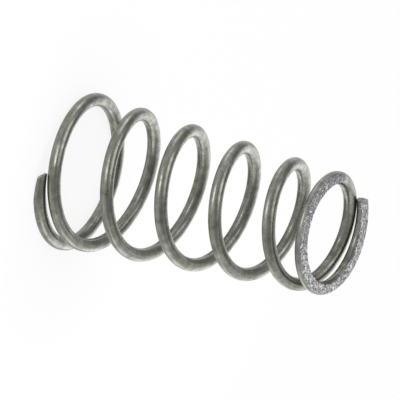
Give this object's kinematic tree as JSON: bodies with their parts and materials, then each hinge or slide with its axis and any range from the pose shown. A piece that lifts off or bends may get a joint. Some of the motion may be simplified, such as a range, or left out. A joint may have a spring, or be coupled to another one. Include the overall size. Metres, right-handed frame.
{
  "type": "tapered compression spring",
  "caption": "Small compression spring of round stainless wire, right-hand coils on a gentle taper, with closed ends ground flat.",
  "frame": {"origin": "on the coil axis, in the plane of the large end's ground face", "axes": "+Z along the coil axis from the large end to the small end; -Y through the wire's tip at the large end"},
  "size_m": [0.0193, 0.0195, 0.0359],
  "materials": {
    "spring_wire": "satin drawn stainless spring wire, with coarse ground end faces"
  },
  "bodies": {
    "root": {"tapered_spring": "spring_wire"}
  },
  "joints": []
}
